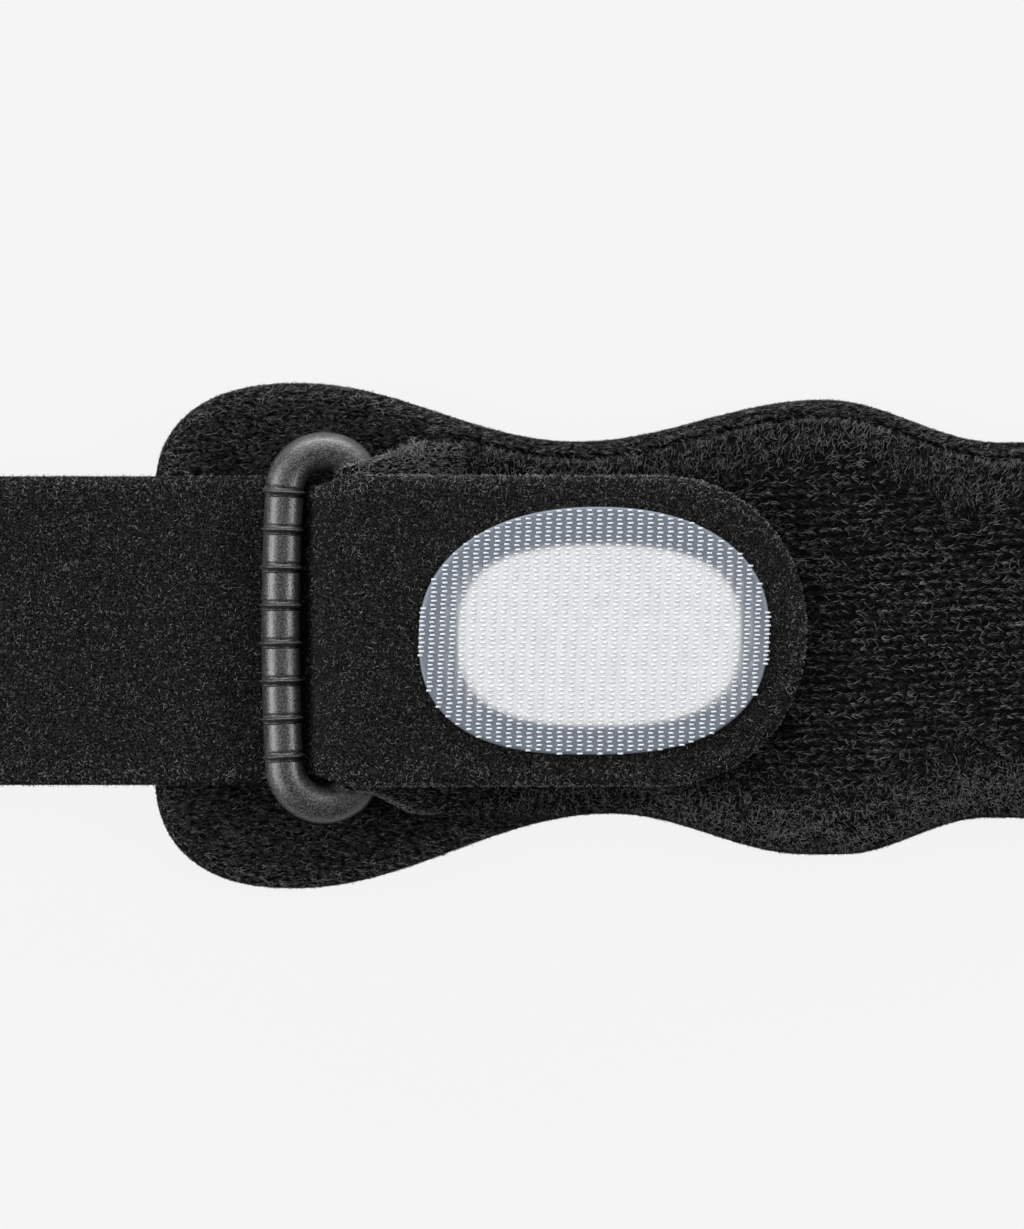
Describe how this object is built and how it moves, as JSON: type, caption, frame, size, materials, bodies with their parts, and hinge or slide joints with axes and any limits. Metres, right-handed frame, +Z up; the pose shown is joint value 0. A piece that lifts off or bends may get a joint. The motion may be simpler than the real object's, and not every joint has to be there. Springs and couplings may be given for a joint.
{
  "type": "patella strap",
  "caption": "Contoured padded knee strap, flattened as a loop: knitted cover on a plush pad, strap threaded through an oval plastic ring, hook patch on its rounded tip.",
  "frame": {"origin": "middle of the bounding box at its base, on the surface that the strap lies on", "axes": "+X along the pad away from the ring, +Y across it towards the edge with the groove, +Z up out of the knitted cover"},
  "size_m": [0.227, 0.0524, 0.0159],
  "materials": {
    "plush": "short black plush",
    "knit": "brushed black knit",
    "ring_plastic": "satin dark grey",
    "strap_fabric": "black loop pile",
    "hook_plastic": "translucent moulded film",
    "backing": "white"
  },
  "bodies": {
    "root": {"pad": "plush", "cover": "knit", "ring": "ring_plastic", "strap": "strap_fabric", "hook_film": "hook_plastic", "hook_backing": "backing"}
  },
  "joints": []
}
